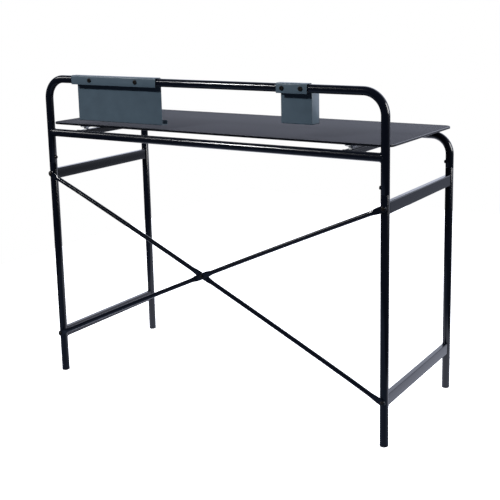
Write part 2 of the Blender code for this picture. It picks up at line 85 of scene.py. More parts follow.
def stoved_enamel():
    """Gloss powder enamel: blue-black, with faint cloudiness and orange peel 4 mm across."""
    enamel, shader = new_material("stoved_blue_black_enamel", {"IOR": 1.47})
    place = add_node(enamel, "ShaderNodeTexCoord", {})
    clouds = add_node(enamel, "ShaderNodeTexNoise", {
        "Vector": place.outputs["Object"], "Scale": 18.0, "Detail": 3.0})
    tint = add_node(enamel, "ShaderNodeMix", {
        "Factor": clouds.outputs["Fac"], "A": linear("#04070f"), "B": linear("#080b15")},
        data_type="RGBA")
    feed(enamel, tint.outputs["Result"], shader, "Base Color")
    gloss = add_node(enamel, "ShaderNodeMapRange", {
        "Value": clouds.outputs["Fac"], "To Min": 0.15, "To Max": 0.20})
    feed(enamel, gloss.outputs["Result"], shader, "Roughness")
    peel = add_node(enamel, "ShaderNodeTexNoise", {
        "Vector": place.outputs["Object"], "Scale": 250.0, "Detail": 0.0})
    bump = add_node(enamel, "ShaderNodeBump", {
        "Height": peel.outputs["Fac"], "Strength": 0.02, "Distance": 0.0002})
    feed(enamel, bump.outputs["Normal"], shader, "Normal")
    return enamel


ENAMEL = stoved_enamel()


def edit(piece):
    """Make one object the only selected one and enter edit mode on it."""
    bpy.ops.object.select_all(action="DESELECT")
    piece.select_set(True)
    bpy.context.view_layer.objects.active = piece
    bpy.ops.object.mode_set(mode="EDIT")


def middle(item):
    if isinstance(item, bmesh.types.BMVert):
        return item.co
    return sum((corner.co for corner in item.verts), Vector()) / len(item.verts)


def pick(kind, rule):
    """In edit mode, select only the verts, edges or faces that the rule accepts."""
    bpy.ops.mesh.select_mode(type={"verts": "VERT", "edges": "EDGE", "faces": "FACE"}[kind])
    bpy.ops.mesh.select_all(action="DESELECT")
    shape = bmesh.from_edit_mesh(bpy.context.object.data)
    for item in list(getattr(shape, kind)):
        if rule(item):
            item.select_set(True)
    bmesh.update_edit_mesh(bpy.context.object.data)


def object_mode():
    bpy.ops.object.mode_set(mode="OBJECT")
    return bpy.context.object


def modify(piece, kind, **settings):
    """Add a modifier, set it and apply it."""
    bpy.ops.object.select_all(action="DESELECT")
    piece.select_set(True)
    bpy.context.view_layer.objects.active = piece
    modifier = piece.modifiers.new(kind.lower(), kind)
    for option, value in settings.items():
        setattr(modifier, option, value)
    bpy.ops.object.modifier_apply(modifier=modifier.name)


def copy_to(piece, name, offset):
    """A copy with its own mesh, moved in its mesh so that its object stays at the origin."""
    twin = piece.copy()
    twin.data = piece.data.copy()
    twin.name = twin.data.name = name
    bpy.context.collection.objects.link(twin)
    twin.data.transform(Matrix.Translation(Vector(offset)))
    return twin


def settle(piece, name, material, smooth=35):
    """Apply the piece's place to its mesh, name it, shade it and paint it."""
    bpy.ops.object.select_all(action="DESELECT")
    piece.select_set(True)
    bpy.context.view_layer.objects.active = piece
    bpy.ops.object.transform_apply(location=True, rotation=True, scale=True)
    bpy.ops.object.shade_smooth_by_angle(angle=math.radians(smooth))
    piece.name = piece.data.name = name
    piece.data.materials.clear()
    piece.data.materials.append(material)
    return piece


def fit_on(piece, body, slot, *nodes):
    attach(piece, body)
    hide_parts(*nodes)


TUBE_SIDES = 48
TUBE_WALL = 0.0012
RIM_ROUNDING = 0.0005
CORNERS = [(end, side) for end in ("front", "rear") for side in ("right", "left")]


def axis_of(node):
    """The middle of a CAD node's box, in plan."""
    low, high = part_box(node)
    return (low + high) / 2


leg_low, leg_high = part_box("rear_leg_left")
tube_radius = (leg_high.x - leg_low.x) / 2


def round_rims(piece, levels, width):
    """Bevel the rim edges that lie at the given heights."""
    edit(piece)
    pick("edges", lambda edge: any(
        all(abs(corner.co.z - level) < 1e-5 for corner in edge.verts) for level in levels)
        and len(edge.link_faces) == 2 and edge.calc_face_angle(0) > 1.0)
    bpy.ops.mesh.bevel(offset=width, segments=2, affect="EDGES")
    return object_mode()


bpy.ops.object.select_all(action="DESELECT")
bpy.ops.mesh.primitive_cylinder_add(
    vertices=TUBE_SIDES, radius=tube_radius, depth=leg_high.z - leg_low.z,
    end_fill_type="NOTHING", location=(0, 0, (leg_high.z + leg_low.z) / 2))
bpy.ops.object.transform_apply(location=True)
leg_tube = bpy.context.object
modify(leg_tube, "SOLIDIFY", thickness=TUBE_WALL, offset=-1.0)
round_rims(leg_tube, (leg_low.z, leg_high.z), RIM_ROUNDING)
for end, side in CORNERS:
    centre = axis_of(f"{end}_leg_{side}")
    twin = copy_to(leg_tube, "leg_tube", (centre.x, centre.y, 0))
    settle(twin, f"leg_tube_{end}_{side}", ENAMEL)
    fit_on(twin, "frame", "black_enamel", f"{end}_leg_{side}")
bpy.data.objects.remove(leg_tube)


# ---------------------------------------------------------------------------
# Foot plugs: moulded polyethylene, tapped up into the tube ends by a ribbed
# spigot. The sole sits flush with the tube and its lower edge is rounded.

def moulded_polythene():
    """Moulded PE: satin black with a fine spark-eroded grain."""
    plastic, shader = new_material("moulded_black_polythene", {
        "Roughness": 0.42, "IOR": 1.51})
    place = add_node(plastic, "ShaderNodeTexCoord", {})
    grain = add_node(plastic, "ShaderNodeTexNoise", {
        "Vector": place.outputs["Object"], "Scale": 900.0, "Detail": 2.0})
    tint = add_node(plastic, "ShaderNodeMix", {
        "Factor": grain.outputs["Fac"], "A": linear("#06080f"), "B": linear("#0b0d14")},
        data_type="RGBA")
    feed(plastic, tint.outputs["Result"], shader, "Base Color")
    bump = add_node(plastic, "ShaderNodeBump", {
        "Height": grain.outputs["Fac"], "Strength": 0.25, "Distance": 0.0003})
    feed(plastic, bump.outputs["Normal"], shader, "Normal")
    return plastic


POLYTHENE = moulded_polythene()
SOLE_ROUNDING = 0.0024
SPIGOT_CLEARANCE = 0.0003
RIB_DEPTH = 0.0004
RIB_STEPS = 6

cap_low, cap_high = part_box("foot_cap_rear_left")
cap_radius = (cap_high.x - cap_low.x) / 2
cap_height = cap_high.z - cap_low.z
sole_thickness = leg_low.z - SPIGOT_CLEARANCE
bpy.ops.object.select_all(action="DESELECT")
bpy.ops.mesh.primitive_cylinder_add(vertices=TUBE_SIDES, radius=cap_radius,
                                    depth=sole_thickness, location=(0, 0, sole_thickness / 2))
bpy.ops.object.transform_apply(location=True)
foot_cap = bpy.context.object
edit(foot_cap)
pick("faces", lambda face: face.normal.z > 0.9)
bpy.ops.mesh.inset(thickness=TUBE_WALL + SPIGOT_CLEARANCE)
spigot_radius = cap_radius - TUBE_WALL - SPIGOT_CLEARANCE
rib_step = (cap_height - sole_thickness) / RIB_STEPS
waist = 1 - RIB_DEPTH / spigot_radius
for step in range(RIB_STEPS):
    bpy.ops.mesh.extrude_region_move(TRANSFORM_OT_translate={"value": (0, 0, rib_step)})
    spread = waist if step % 2 == 0 else 1 / waist
    bpy.ops.transform.resize(value=(spread, spread, 1), center_override=(0, 0, 0))
pick("edges", lambda edge: all(corner.co.z < 1e-5 for corner in edge.verts))
bpy.ops.mesh.bevel(offset=SOLE_ROUNDING, segments=6, affect="EDGES", clamp_overlap=False)
object_mode()
for end, side in CORNERS:
    centre = axis_of(f"foot_cap_{end}_{side}")
    twin = copy_to(foot_cap, "foot_cap", (centre.x, centre.y, 0))
    settle(twin, f"foot_plug_{end}_{side}", POLYTHENE, 40)
    fit_on(twin, "frame", "black_plastic", f"foot_cap_{end}_{side}")
bpy.data.objects.remove(foot_cap)


# ---------------------------------------------------------------------------
# Hoops: each is one tube bent twice on a mandrel into an inverted U. The rear
# one rises past the top to make the back rail; the front one stops under the
# glass. Their open ends sit on the leg tubes with a hairline seam.

BEND_STEPS = 18
MERGE_DISTANCE = 0.00001
REAR_BEND_RADIUS = 0.057
FRONT_BEND_RADIUS = 0.051


def bent_hoop(node, bend_radius):
    """Extrude and spin a ring up one leg, round both bends and down the other."""
    low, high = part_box(node)
    leg_x = high.x - tube_radius
    y = (low.y + high.y) / 2
    rail_z = high.z - tube_radius
    bpy.ops.object.select_all(action="DESELECT")
    bpy.ops.mesh.primitive_circle_add(vertices=TUBE_SIDES, radius=tube_radius,
                                      location=(-leg_x, y, low.z))
    bpy.ops.object.transform_apply(location=True)
    hoop = bpy.context.object
    edit(hoop)
    bpy.ops.mesh.select_all(action="SELECT")
    rise = rail_z - bend_radius - low.z
    bpy.ops.mesh.extrude_region_move(TRANSFORM_OT_translate={"value": (0, 0, rise)})
    bpy.ops.mesh.spin(steps=BEND_STEPS, angle=math.pi / 2, axis=(0, -1, 0),
                      center=(-leg_x + bend_radius, y, rail_z - bend_radius))
    run = 2 * (leg_x - bend_radius)
    bpy.ops.mesh.extrude_region_move(TRANSFORM_OT_translate={"value": (run, 0, 0)})
    bpy.ops.mesh.spin(steps=BEND_STEPS, angle=math.pi / 2, axis=(0, -1, 0),
                      center=(leg_x - bend_radius, y, rail_z - bend_radius))
    bpy.ops.mesh.extrude_region_move(TRANSFORM_OT_translate={"value": (0, 0, -rise)})
    bpy.ops.mesh.select_all(action="SELECT")
    bpy.ops.mesh.remove_doubles(threshold=MERGE_DISTANCE)
    bpy.ops.mesh.normals_make_consistent(inside=False)
    object_mode()
    modify(hoop, "SOLIDIFY", thickness=TUBE_WALL, offset=-1.0)
    round_rims(hoop, (low.z,), RIM_ROUNDING)
    settle(hoop, node + "_tube", ENAMEL)
    fit_on(hoop, "frame", "black_enamel", node)


bent_hoop("rear_hoop", REAR_BEND_RADIUS)
bent_hoop("front_hoop", FRONT_BEND_RADIUS)


# ---------------------------------------------------------------------------
# Joint sleeves and rivet nuts: turned steel parts out of sight inside the
# tubes, bright zinc plated. They keep their plain solids.

def bright_zinc():
    """Zinc plate: bluish white metal with faint turning rings."""
    zinc, shader = new_material("bright_zinc_plate", {"Metallic": 1.0})
    place = add_node(zinc, "ShaderNodeTexCoord", {})
    rings = add_node(zinc, "ShaderNodeTexWave", {
        "Vector": place.outputs["Object"], "Scale": 260.0, "Distortion": 1.0},
        bands_direction="Z")
    tint = add_node(zinc, "ShaderNodeMix", {
        "Factor": rings.outputs["Fac"], "A": linear("#b9bdc4"), "B": linear("#cdd0d5")},
        data_type="RGBA")
    feed(zinc, tint.outputs["Result"], shader, "Base Color")
    worn = add_node(zinc, "ShaderNodeMapRange", {
        "Value": rings.outputs["Fac"], "To Min": 0.26, "To Max": 0.36})
    feed(zinc, worn.outputs["Result"], shader, "Roughness")
    return zinc


ZINC = bright_zinc()
for name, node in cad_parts.items():
    if name.startswith(("joint_sleeve", "rivet_nut")):
        node.data.materials.clear()
        node.data.materials.append(ZINC)


# ---------------------------------------------------------------------------
# Rear cross rail: a straight length of the same tube, its ends fish-mouthed to
# the rear legs and MIG welded. The bead is ground light and enamelled over.

BEAD_RADIUS = 0.0013
BEAD_RIPPLE = 0.16
BEAD_TO_RAIL = 0.0003
BEAD_TO_LEG = 0.0006
COPE_PLAY = 0.00005
SADDLE_LENGTH = 0.06


def tube_saddle(centre, radius, length):
    """A temporary upright or lying cylinder that a tube end is coped to."""
    bpy.ops.object.select_all(action="DESELECT")
    bpy.ops.mesh.primitive_cylinder_add(vertices=96, radius=radius, depth=length,
                                        location=centre)
    return bpy.context.object


def cope(piece, saddle):
    modify(piece, "BOOLEAN", operation="DIFFERENCE", object=saddle, solver="EXACT")


def weld_bead(route):
    """A rippled bead of weld along a closed route: a ring, bent, then given its body."""
    bpy.ops.object.select_all(action="DESELECT")
    bpy.ops.mesh.primitive_circle_add(vertices=len(route), radius=0.01)
    bead = bpy.context.object
    for corner, point in zip(bead.data.vertices, route):
        corner.co = point
    bpy.ops.object.convert(target="CURVE")
    bead.data.bevel_depth = BEAD_RADIUS
    bead.data.bevel_resolution = 2
    for spline in bead.data.splines:
        for place, point in enumerate(spline.points):
            point.radius = 1.0 + BEAD_RIPPLE * math.sin(place * 2.1)
    bpy.ops.object.convert(target="MESH")
    bead.data.materials.clear()
    return bead


def weld_on(piece, *beads):
    """Join the weld beads to the tube that they hold, as one piece."""
    bpy.ops.object.select_all(action="DESELECT")
    for bead in beads:
        bead.select_set(True)
    piece.select_set(True)
    bpy.context.view_layer.objects.active = piece
    bpy.ops.object.join()


rail_low, rail_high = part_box("rear_cross_rail")
rail_y = (rail_low.y + rail_high.y) / 2
rail_z = (rail_low.z + rail_high.z) / 2
leg_x = axis_of("rear_leg_left").x
bpy.ops.object.select_all(action="DESELECT")
bpy.ops.mesh.primitive_cylinder_add(
    vertices=TUBE_SIDES, radius=tube_radius, depth=2 * leg_x,
    location=(0, rail_y, rail_z), rotation=(0, math.pi / 2, 0))
cross_rail = bpy.context.object
cross_beads = []
for sign in (-1, 1):
    saddle = tube_saddle((sign * leg_x, rail_y, rail_z), tube_radius + COPE_PLAY, SADDLE_LENGTH)
    cope(cross_rail, saddle)
    bpy.data.objects.remove(saddle)
    route = []
    for step in range(72):
        turn = 2 * math.pi * step / 72
        off_y = (tube_radius + BEAD_TO_RAIL) * math.cos(turn)
        reach = math.sqrt(max((tube_radius + BEAD_TO_LEG) ** 2 - off_y ** 2, 0.0)) + BEAD_TO_LEG
        route.append((sign * (leg_x - reach), rail_y + off_y,
                      rail_z + (tube_radius + BEAD_TO_RAIL) * math.sin(turn)))
    cross_beads.append(weld_bead(route))
weld_on(cross_rail, *cross_beads)
settle(cross_rail, "cross_rail_tube", ENAMEL)
fit_on(cross_rail, "frame", "black_enamel", "rear_cross_rail")


# ---------------------------------------------------------------------------
# Stretchers: 15 x 30 mm rectangular tube with drawn corners, coped and welded
# between the front and rear legs of each side, enamelled with the frame.

DRAWN_CORNER = 0.0022
COPE_SPARE = 0.008
BEAD_SPACING = 0.0025
BEAD_OVERHANG = 0.0006
BEAD_OFF_LEG = 0.0004


def box_tube(node):
    """A closed length of rectangular tube that fills the node's box, corners drawn round."""
    low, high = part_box(node)
    bpy.ops.object.select_all(action="DESELECT")
    bpy.ops.mesh.primitive_cube_add(size=1.0, location=(low + high) / 2,
                                    scale=(high.x - low.x, high.y - low.y + COPE_SPARE,
                                           high.z - low.z))
    bpy.ops.object.transform_apply(location=True, scale=True)
    tube = bpy.context.object
    edit(tube)
    pick("edges", lambda edge: abs(edge.verts[0].co.y - edge.verts[1].co.y) > 0.1)
    bpy.ops.mesh.bevel(offset=DRAWN_CORNER, segments=5, affect="EDGES")
    return object_mode()


def rectangle_route(width, height, corner, steps):
    """Points round a rectangle with rounded corners, as (across, up) pairs."""
    points = []
    for quarter, (side, level) in enumerate(((1, 1), (-1, 1), (-1, -1), (1, -1))):
        for step in range(steps + 1):
            turn = math.pi / 2 * (quarter + step / steps)
            points.append((side * (width / 2 - corner) + corner * math.cos(turn),
                           level * (height / 2 - corner) + corner * math.sin(turn)))
    dense = []
    for start, end in zip(points, points[1:] + points[:1]):
        gap = math.dist(start, end)
        count = max(1, round(gap / BEAD_SPACING))
        dense += [(start[0] + (end[0] - start[0]) * share / count,
                   start[1] + (end[1] - start[1]) * share / count) for share in range(count)]
    return dense


leg_y = axis_of("rear_leg_left").y
for level in ("lower", "upper"):
    for side in ("right", "left"):
        node = f"{level}_stretcher_{side}"
        centre = axis_of(node)
        low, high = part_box(node)
        stretcher = box_tube(node)
        beads = []
        for sign in (-1, 1):
            saddle = tube_saddle((centre.x, sign * leg_y, centre.z),
                                 tube_radius + COPE_PLAY, SADDLE_LENGTH)
            cope(stretcher, saddle)
            bpy.data.objects.remove(saddle)
            outline = rectangle_route(high.x - low.x + BEAD_OVERHANG,
                                      high.z - low.z + BEAD_OVERHANG, DRAWN_CORNER, 3)
            route = [(centre.x + across,
                      sign * (leg_y - math.sqrt(
                          (tube_radius + BEAD_OFF_LEG) ** 2 - across ** 2)),
                      centre.z + up) for across, up in outline]
            beads.append(weld_bead(route))
        weld_on(stretcher, *beads)
        settle(stretcher, f"{level}_side_rail_{side}", ENAMEL)
        fit_on(stretcher, "frame", "black_enamel", node)


# ---------------------------------------------------------------------------
# Support rails: two lengths of smaller rectangular tube, welded between the
# front rail and the cross rail. They carry the suction cups under the glass.

for side in ("right", "left"):
    node = f"support_rail_{side}"
    centre = axis_of(node)
    low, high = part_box(node)
    rail = box_tube(node)
    beads = []
    for sign in (-1, 1):
        saddle = tube_saddle((centre.x, sign * leg_y, rail_z),
                             tube_radius + COPE_PLAY, SADDLE_LENGTH)
        edit(saddle)
        bpy.ops.mesh.select_all(action="SELECT")
        bpy.ops.transform.rotate(value=math.pi / 2, orient_axis="Y",
                                 center_override=(centre.x, sign * leg_y, rail_z))
        object_mode()
        cope(rail, saddle)
        bpy.data.objects.remove(saddle)
        outline = rectangle_route(high.x - low.x + BEAD_OVERHANG, high.z - low.z + BEAD_OVERHANG,
                                  DRAWN_CORNER, 3)
        route = []
        for across, up in outline:
            drop = centre.z + up - rail_z
            reach = math.sqrt(max((tube_radius + BEAD_OFF_LEG) ** 2 - drop ** 2, 0.0))
            route.append((centre.x + across, sign * (leg_y - reach), centre.z + up))
        beads.append(weld_bead(route))
    weld_on(rail, *beads)
    settle(rail, f"glass_bearer_{side}", ENAMEL)
    fit_on(rail, "frame", "black_enamel", node)


# ---------------------------------------------------------------------------
# Glass top: 6 mm toughened glass, back-enamelled a smoky black. The upper face
# is acid-etched to a satin; corners are rounded and the edge is ground and
# polished with a fine arris.

def etched_glass():
    """Satin-etched smoked glass: grey sheen that hides reflections, with fine mottle."""
    glass, shader = new_material("satin_etched_smoked_glass", {
        "IOR": 1.52, "Specular IOR Level": 0.16})
    place = add_node(glass, "ShaderNodeTexCoord", {})
    mottle = add_node(glass, "ShaderNodeTexNoise", {
        "Vector": place.outputs["Object"], "Scale": 7.0, "Detail": 4.0})
    tint = add_node(glass, "ShaderNodeMix", {
        "Factor": mottle.outputs["Fac"], "A": linear("#292a30"), "B": linear("#2e2f36")},
        data_type="RGBA")
    feed(glass, tint.outputs["Result"], shader, "Base Color")
    satin = add_node(glass, "ShaderNodeMapRange", {
        "Value": mottle.outputs["Fac"], "To Min": 0.66, "To Max": 0.72})
    feed(glass, satin.outputs["Result"], shader, "Roughness")
    etch = add_node(glass, "ShaderNodeTexNoise", {
        "Vector": place.outputs["Object"], "Scale": 1400.0, "Detail": 2.0})
    bump = add_node(glass, "ShaderNodeBump", {
        "Height": etch.outputs["Fac"], "Strength": 0.12, "Distance": 0.0002})
    feed(glass, bump.outputs["Normal"], shader, "Normal")
    return glass


def polished_glass():
    """The ground edge and the enamelled underside: near black and glossy."""
    glass, shader = new_material("polished_smoked_glass_edge", {
        "Roughness": 0.12, "IOR": 1.52})
    place = add_node(glass, "ShaderNodeTexCoord", {})
    haze = add_node(glass, "ShaderNodeTexNoise", {
        "Vector": place.outputs["Object"], "Scale": 60.0, "Detail": 3.0})
    tint = add_node(glass, "ShaderNodeMix", {
        "Factor": haze.outputs["Fac"], "A": linear("#06070b"), "B": linear("#0b0d12")},
        data_type="RGBA")
    feed(glass, tint.outputs["Result"], shader, "Base Color")
    return glass


ETCHED = etched_glass()
POLISHED = polished_glass()
CORNER_RADIUS = 0.024
ARRIS = 0.0009

glass_low, glass_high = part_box("glass_top")
bpy.ops.object.select_all(action="DESELECT")
bpy.ops.mesh.primitive_cube_add(size=1.0, location=(glass_low + glass_high) / 2,
                                scale=glass_high - glass_low)
bpy.ops.object.transform_apply(location=True, scale=True)
glass = bpy.context.object
edit(glass)
pick("edges", lambda edge: abs(edge.verts[0].co.z - edge.verts[1].co.z) > 0.001)
bpy.ops.mesh.bevel(offset=CORNER_RADIUS, segments=20, affect="EDGES")
pick("edges", lambda edge: edge.calc_face_angle(0) > 1.0)
bpy.ops.mesh.bevel(offset=ARRIS, segments=3, affect="EDGES")
object_mode()
settle(glass, "glass_plate", POLISHED, 20)
glass.data.materials.append(ETCHED)
for face in glass.data.polygons:
    if face.normal.z > 0.99:
        face.material_index = 1
fit_on(glass, "frame", "smoked_glass", "glass_top")


# ---------------------------------------------------------------------------
# Screws and bolts: pan-head steel machine screws with a hexagon socket, black
# oxide. The brace bolts have a rolled flange; the nut behind the crossing is
# a plain hexagon.

def black_oxide():
    """Oil-blackened steel: dark satin metal, a little browner where it is handled."""
    oxide, shader = new_material("black_oxide_steel", {"Metallic": 0.85, "Roughness": 0.34})
    place = add_node(oxide, "ShaderNodeTexCoord", {})
    stain = add_node(oxide, "ShaderNodeTexNoise", {
        "Vector": place.outputs["Object"], "Scale": 420.0, "Detail": 3.0})
    tint = add_node(oxide, "ShaderNodeMix", {
        "Factor": stain.outputs["Fac"], "A": linear("#29292c"), "B": linear("#46423d")},
        data_type="RGBA")
    feed(oxide, tint.outputs["Result"], shader, "Base Color")
    return oxide


OXIDE = black_oxide()


def pan_screw(head_radius, head_height, shank_radius, shank_length, flange=0.0):
    """A screw standing on the origin, head up: cylinder, domed by bevels, socketed."""
    bpy.ops.object.select_all(action="DESELECT")
    bpy.ops.mesh.primitive_cylinder_add(vertices=40, radius=head_radius, depth=head_height,
                                        location=(0, 0, head_height / 2))
    bpy.ops.object.transform_apply(location=True)
    screw = bpy.context.object
    edit(screw)
    pick("edges", lambda edge: all(corner.co.z > head_height - 1e-6 for corner in edge.verts))
    bpy.ops.mesh.bevel(offset=head_height * 0.55, segments=6, affect="EDGES")
    pick("faces", lambda face: face.normal.z < -0.9)
    if flange:
        bpy.ops.mesh.extrude_region_move()
        spread = 1 + flange / head_radius
        bpy.ops.transform.resize(value=(spread, spread, 1), center_override=(0, 0, 0))
        pick("faces", lambda face: face.normal.z < -0.9)
    bpy.ops.mesh.inset(thickness=head_radius + flange - shank_radius)
    bpy.ops.mesh.extrude_region_move(TRANSFORM_OT_translate={"value": (0, 0, -shank_length)})
    pick("edges", lambda edge: all(corner.co.z < -shank_length + 1e-6 for corner in edge.verts))
    bpy.ops.mesh.bevel(offset=shank_radius * 0.25, segments=2, affect="EDGES")
    object_mode()
    bpy.ops.object.select_all(action="DESELECT")
    bpy.ops.mesh.primitive_cylinder_add(vertices=6, radius=head_radius * 0.42,
                                        depth=head_height, location=(0, 0, head_height * 1.05))
    socket = bpy.context.object
    modify(screw, "BOOLEAN", operation="DIFFERENCE", object=socket, solver="EXACT")
    bpy.data.objects.remove(socket)
    return screw


def drive_in(screw, node, name, body, direction):
    """Copy the screw to its node's place, head pointing along the direction."""
    low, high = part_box(node)
    direction = Vector(direction)
    twin = copy_to(screw, name, (0, 0, 0))
    turn = Vector((0, 0, 1)).rotation_difference(direction).to_matrix().to_4x4()
    twin.data.transform(turn)
    corners = [vert.co @ direction for vert in twin.data.vertices]
    far = max(low @ direction, high @ direction)
    centre = (low + high) / 2
    shift = centre - direction * (centre @ direction) + direction * (far - max(corners))
    twin.data.transform(Matrix.Translation(shift))
    settle(twin, name, OXIDE, 30)
    fit_on(twin, body, "black_screw", node)


joint_screw = pan_screw(head_radius=0.0050, head_height=0.0036, shank_radius=0.0021,
                        shank_length=0.0065)
brace_bolt = pan_screw(head_radius=0.0054, head_height=0.0042, shank_radius=0.0024,
                       shank_length=0.0125, flange=0.0014)
centre_bolt = pan_screw(head_radius=0.0050, head_height=0.0038, shank_radius=0.0024,
                        shank_length=0.0105, flange=0.0008)
for end, side in CORNERS:
    inward = (1, 0, 0) if side == "right" else (-1, 0, 0)
    drive_in(joint_screw, f"joint_screw_{end}_{side}", f"leg_screw_{end}_{side}", "frame", inward)
for label in ("lower_left", "lower_right", "upper_left", "upper_right"):
    drive_in(brace_bolt, "brace_bolt_" + label, "tie_bolt_" + label, "frame", (0, 1, 0))
drive_in(centre_bolt, "brace_centre_bolt", "tie_bolt_centre", "frame", (0, 1, 0))

nut_low, nut_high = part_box("brace_centre_nut")
nut_depth = nut_high.y - nut_low.y
bpy.ops.object.select_all(action="DESELECT")
bpy.ops.mesh.primitive_cylinder_add(
    vertices=6, radius=(nut_high.z - nut_low.z) / 2, depth=nut_depth,
    location=(nut_low + nut_high) / 2, rotation=(math.pi / 2, 0, 0))
tie_nut = bpy.context.object
edit(tie_nut)
pick("edges", lambda edge: len({face.normal.z > 0.9 or face.normal.z < -0.9
                                for face in edge.link_faces}) == 2)
bpy.ops.mesh.bevel(offset=0.0004, segments=2, affect="EDGES")
object_mode()
bpy.ops.object.select_all(action="DESELECT")
bpy.ops.mesh.primitive_cylinder_add(
    vertices=32, radius=0.0027, depth=0.02, location=(nut_low + nut_high) / 2,
    rotation=(math.pi / 2, 0, 0))
bore = bpy.context.object
modify(tie_nut, "BOOLEAN", operation="DIFFERENCE", object=bore, solver="EXACT")
bpy.data.objects.remove(bore)
settle(tie_nut, "tie_nut_centre", OXIDE, 30)
fit_on(tie_nut, "frame", "black_screw", "brace_centre_nut")


# ---------------------------------------------------------------------------
# Cross brace: two 12 mm steel rods pressed flat and drilled at both ends and
# at the crossing, where one bolt holds them. They bow up slightly between
# their bolts.

ROD_SIDES = 32
ROD_RADIUS = 0.006
FLAT_HALF_WIDTH = 0.0085
FLAT_HALF_THICKNESS = 0.0015
BOW = 0.007
END_FLAT = 0.018
END_TAPER = 0.030
MIDDLE_FLAT = 0.016
MIDDLE_TAPER = 0.022
CROSSING_RUN = 0.10
CROSSING_GAP = 0.00015
TIP_REACH = 0.995
FLAT_SQUARENESS = 0.62


def smooth_step(value):
    value = min(max(value, 0.0), 1.0)
    return value * value * (3 - 2 * value)


def pressed(distance, half_length):
    """How flat the rod is at a distance from its middle, from 0 round to 1 flat."""
    at_end = 1 - smooth_step((half_length - abs(distance) - END_FLAT) / END_TAPER)
    at_middle = 1 - smooth_step((abs(distance) - MIDDLE_FLAT) / MIDDLE_TAPER)
    return max(at_end, at_middle)


def brace_rod(node, name, low_bolt, high_bolt, offset):
    """Extrude a ring from bolt to bolt, squeezing it where the rod is pressed flat."""
    start = axis_of(low_bolt)
    end = axis_of(high_bolt)
    start.y = end.y = plane_y
    along = (end - start).normalized()
    upward = Vector((-along.z, 0, along.x)) * (1 if along.x > 0 else -1)
    half_length = (end - start).length / 2 + FLAT_HALF_WIDTH
    tip = [half_length - FLAT_HALF_WIDTH * (1 - math.cos(math.pi / 2 * step / 8))
           for step in range(9)]
    neck = [half_length - 0.012 - 0.040 * step / 10 for step in range(11)]
    crossing = [0.042 * step / 12 for step in range(13)]
    span = [0.06 + (half_length - 0.13) * step / 12 for step in range(13)]
    outward = sorted({round(value, 6) for value in tip + neck + crossing + span})
    stations = [-value for value in reversed(outward[1:])] + outward
    bpy.ops.object.select_all(action="DESELECT")
    bpy.ops.mesh.primitive_circle_add(vertices=ROD_SIDES, radius=1.0)
    rod = bpy.context.object
    edit(rod)
    bpy.ops.mesh.select_all(action="SELECT")
    for _ in stations[1:]:
        bpy.ops.mesh.extrude_region_move(TRANSFORM_OT_translate={"value": (0, 0, 1)})
    object_mode()
    for vert in rod.data.vertices:
        distance = stations[round(vert.co.z)]
        flat = pressed(distance, half_length)
        width = ROD_RADIUS + (FLAT_HALF_WIDTH - ROD_RADIUS) * flat
        past_bolt = abs(distance) - (half_length - FLAT_HALF_WIDTH)
        if past_bolt > 0:
            reach = min(past_bolt, FLAT_HALF_WIDTH * TIP_REACH)
            width = math.sqrt(FLAT_HALF_WIDTH ** 2 - reach ** 2)
        thickness = ROD_RADIUS + (FLAT_HALF_THICKNESS - ROD_RADIUS) * flat
        squareness = 1 - FLAT_SQUARENESS * flat
        sine, cosine = vert.co.y, vert.co.x
        up = math.copysign(abs(cosine) ** squareness, cosine) * width
        out = math.copysign(abs(sine) ** squareness, sine) * thickness
        rise = BOW * (1 - (distance / half_length) ** 2)
        step_out = offset * smooth_step(
            (half_length - abs(distance) - END_FLAT) / CROSSING_RUN)
        vert.co = ((start + end) / 2 + along * distance + upward * up
                   + Vector((0, out + step_out, rise)))
    edit(rod)
    pick("edges", lambda edge: edge.is_boundary)
    bpy.ops.mesh.edge_face_add()
    bpy.ops.mesh.select_all(action="SELECT")
    bpy.ops.mesh.normals_make_consistent(inside=False)
    object_mode()
    settle(rod, name, ENAMEL)
    fit_on(rod, "frame", "black_enamel", node)


outer_low, outer_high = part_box("outer_brace")
inner_low, inner_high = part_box("inner_brace")
plane_y = (min(outer_low.y, inner_low.y) + max(outer_high.y, inner_high.y)) / 2
crossing_step = FLAT_HALF_THICKNESS + CROSSING_GAP
brace_rod("outer_brace", "brace_rod_outer", "brace_bolt_lower_left",
          "brace_bolt_upper_right", crossing_step)
brace_rod("inner_brace", "brace_rod_inner", "brace_bolt_lower_right",
          "brace_bolt_upper_left", -crossing_step)
for pattern in (joint_screw, brace_bolt, centre_bolt):
    bpy.data.objects.remove(pattern)


# ---------------------------------------------------------------------------
# Suction cups: soft vinyl gone milky, one at each end of both support rails.
# The deep lip grips the glass, and a black screw holds the neck to the rail.

def clear_vinyl():
    """Plasticised PVC: milky white, with soft-edged reflections and a faint cool haze."""
    vinyl, shader = new_material("clear_soft_vinyl", {
        "Base Color": linear("#f2f5f7"), "Roughness": 0.12, "IOR": 1.53,
        "Transmission Weight": 0.06, "Subsurface Weight": 0.15,
        "Subsurface Radius": (0.004, 0.004, 0.004)})
    place = add_node(vinyl, "ShaderNodeTexCoord", {})
    ripple = add_node(vinyl, "ShaderNodeTexNoise", {
        "Vector": place.outputs["Object"], "Scale": 260.0, "Detail": 2.0})
    bump = add_node(vinyl, "ShaderNodeBump", {
        "Height": ripple.outputs["Fac"], "Strength": 0.2, "Distance": 0.0004})
    feed(vinyl, bump.outputs["Normal"], shader, "Normal")
    return vinyl


